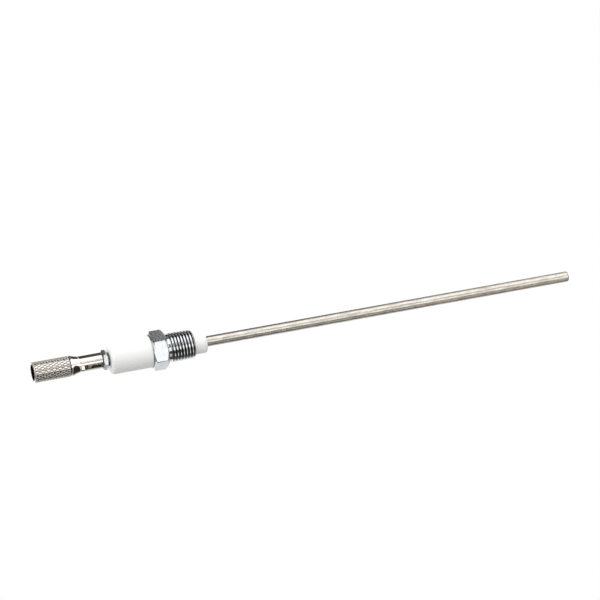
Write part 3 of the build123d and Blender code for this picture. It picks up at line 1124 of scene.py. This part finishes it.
STUDIO_FAR_RIGHT = (
    (-180, 0.60, WARM),
    (-110, 0.70, WARM),
    (-60, 0.80, WARM),
    (-40, 0.76, WARM),
    (4, 0.84, WARM),
    (12, 1.00, WARM),
    (30, 1.70, WHITE),
    (40, 1.60, WHITE),
    (46, 1.10, WARM),
    (58, 1.10, WARM),
    (64, 1.60, WHITE),
    (100, 1.60, WHITE),
    (128, 1.60, WHITE),
    (150, 1.05, WARM),
    (172, 0.60, WARM),
    (179, 0.60, WARM),
)

SKY_BRIGHTEST = (-0.25, 0.48, 0.84)
SKY_LEVEL = 1.12
SKY_CHANGE = 0.82
# Borders of the lists, as the X part of a reflection's direction.
SHELL_FROM = (0.200, 0.213)
ROD_FROM = (0.258, 0.294)
END_FADE = (0.7, 0.92)
END_LEVEL = 0.12
CARD_LEAN = 0.085  # how much further right the black card's edge stands for each radian up
CARD_EDGE = 0.37
CARD_BLEND = 0.1
CARD_TOP = (-1.64, -1.76)
CARD_TOP_LEAN = -3.0
CARD_BOTTOM = (-100, -80)
CONE_CARD_FROM = (0.32, 0.40)
CONE_CARD_ANGLES = (120, 138)
CARD_DARKNESS = 0.96
GLOW_FROM = (-0.2, -0.36)
GLOW_END = (-0.75, -0.55)
GLOW_LEVEL = 0.4

world = bpy.data.worlds.new("studio")
bpy.context.scene.world = world
world.use_nodes = True
tree = world.node_tree
place_on_sky = add_node(tree, "ShaderNodeTexCoord").outputs["Generated"]
direction = add_node(tree, "ShaderNodeSeparateXYZ", {0: place_on_sky})
toward = add_node(
    tree, "ShaderNodeMath", {0: direction.outputs["Y"], 1: -1.0}, operation="MULTIPLY"
)
around = add_node(
    tree, "ShaderNodeMath", {0: direction.outputs["Z"], 1: toward.outputs[0]}, operation="ARCTAN2"
)
place = add_node(
    tree,
    "ShaderNodeMapRange",
    {"Value": around.outputs[0], "From Min": -math.pi, "From Max": math.pi},
)


def studio_ramp(studio):
    """The colours of the studio round the object, from its list of angles."""
    ramp = add_node(tree, "ShaderNodeValToRGB", {0: place.outputs["Result"]})
    stops = ramp.color_ramp.elements
    while len(stops) > 1:
        stops.remove(stops[-1])
    for number, (angle, brightness, tint) in enumerate(studio):
        at = (angle + 180) / 360
        stop = stops[0] if number == 0 else stops.new(at)
        stop.position = at
        stop.color = (*(brightness * part for part in tint), 1.0)
    return ramp.outputs["Color"]


def smooth_step(value, start, end, low=0.0, high=1.0):
    """A number that turns smoothly from low to high as value goes from start to end."""
    return add_node(
        tree,
        "ShaderNodeMapRange",
        {"Value": value, "From Min": start, "From Max": end, "To Min": low, "To Max": high},
        interpolation_type="SMOOTHSTEP",
    ).outputs["Result"]


def math_node(operation, first, second=0.0, third=0.0):
    inputs = {0: first, 1: second, 2: third}
    return add_node(tree, "ShaderNodeMath", inputs, operation=operation).outputs[0]


# The open ends of the studio, seen by the thread's flanks, are dim. A black card stands low at the
# right, further in the lower it reaches, and a white one at the left.
aside = direction.outputs["X"]
ends = smooth_step(math_node("ABSOLUTE", aside), *END_FADE, 1.0, END_LEVEL)
card_edge = math_node("MULTIPLY_ADD", around.outputs[0], CARD_LEAN, CARD_EDGE)
beyond = smooth_step(math_node("SUBTRACT", aside, card_edge), 0.0, CARD_BLEND)
card_top = math_node("MULTIPLY_ADD", aside, CARD_TOP_LEAN, around.outputs[0])
below = smooth_step(card_top, *CARD_TOP)
above = smooth_step(around.outputs[0], *(math.radians(angle) for angle in CARD_BOTTOM))
low_card = math_node("MULTIPLY", beyond, math_node("MULTIPLY", below, above))
over_cone = math_node(
    "MULTIPLY",
    smooth_step(aside, *CONE_CARD_FROM),
    smooth_step(around.outputs[0], *(math.radians(angle) for angle in CONE_CARD_ANGLES)),
)
cards = math_node("MAXIMUM", low_card, over_cone)
card = math_node("MULTIPLY_ADD", cards, -CARD_DARKNESS, 1.0)
studio_light = tree.nodes["Background"]
near_part = mixed(
    tree, smooth_step(aside, *SHELL_FROM), studio_ramp(STUDIO_LEFT), studio_ramp(STUDIO_RIGHT)
)
tree.links.new(
    mixed(tree, smooth_step(aside, *ROD_FROM), near_part, studio_ramp(STUDIO_FAR_RIGHT)),
    studio_light.inputs["Color"],
)
tree.links.new(math_node("MULTIPLY", ends, card), studio_light.inputs["Strength"])
left_glow = math_node(
    "MULTIPLY",
    smooth_step(aside, *GLOW_FROM),
    smooth_step(aside, *GLOW_END, 0.0, GLOW_LEVEL),
)
left_card = add_node(tree, "ShaderNodeBackground", {"Strength": left_glow})
seen_in_metal = add_node(
    tree, "ShaderNodeAddShader", {0: studio_light.outputs[0], 1: left_card.outputs[0]}
)
# Matt surfaces do not see the studio: a plain soft sky lights them, brightest over the back.
over_back = add_node(
    tree, "ShaderNodeVectorMath", {0: place_on_sky, 1: SKY_BRIGHTEST}, operation="DOT_PRODUCT"
)
sky = add_node(
    tree,
    "ShaderNodeBackground",
    {"Strength": math_node("MULTIPLY_ADD", over_back.outputs["Value"], SKY_CHANGE, SKY_LEVEL)},
)
rays = add_node(tree, "ShaderNodeLightPath")
lighting = add_node(
    tree,
    "ShaderNodeMixShader",
    {0: rays.outputs["Is Diffuse Ray"], 1: seen_in_metal.outputs[0], 2: sky.outputs[0]},
)
backdrop = add_node(tree, "ShaderNodeBackground", {"Color": (1, 1, 1, 1), "Strength": 1.0})
seen = add_node(
    tree,
    "ShaderNodeMixShader",
    {
        0: rays.outputs["Is Camera Ray"],
        1: lighting.outputs[0],
        2: backdrop.outputs[0],
    },
)
tree.links.new(seen.outputs[0], tree.nodes["World Output"].inputs["Surface"])

CAMERA_AZIMUTH = math.radians(-17.51)
CAMERA_ELEVATION = math.radians(34.6)
CAMERA_DISTANCE = 2.0
CAMERA_AIM = Vector((0.0628, 0, 0))
CAMERA_LIFT = 0.01117
CAMERA_SIDE = 0.0002
CAMERA_LENS = 265.2

back = Vector(
    (
        math.sin(CAMERA_AZIMUTH) * math.cos(CAMERA_ELEVATION),
        -math.cos(CAMERA_AZIMUTH) * math.cos(CAMERA_ELEVATION),
        math.sin(CAMERA_ELEVATION),
    )
)
rightward = Vector((0, 0, 1)).cross(back).normalized()
upward = back.cross(rightward)
camera = bpy.data.objects.new("camera", bpy.data.cameras.new("camera"))
camera.data.lens = CAMERA_LENS
camera.location = (
    CAMERA_AIM + back * CAMERA_DISTANCE + upward * CAMERA_LIFT + rightward * CAMERA_SIDE
)
camera.rotation_mode = "QUATERNION"
camera.rotation_quaternion = (-back).to_track_quat("-Z", "Y")
bpy.context.scene.collection.objects.link(camera)
bpy.context.scene.camera = camera
bpy.context.scene.view_settings.view_transform = "Standard"
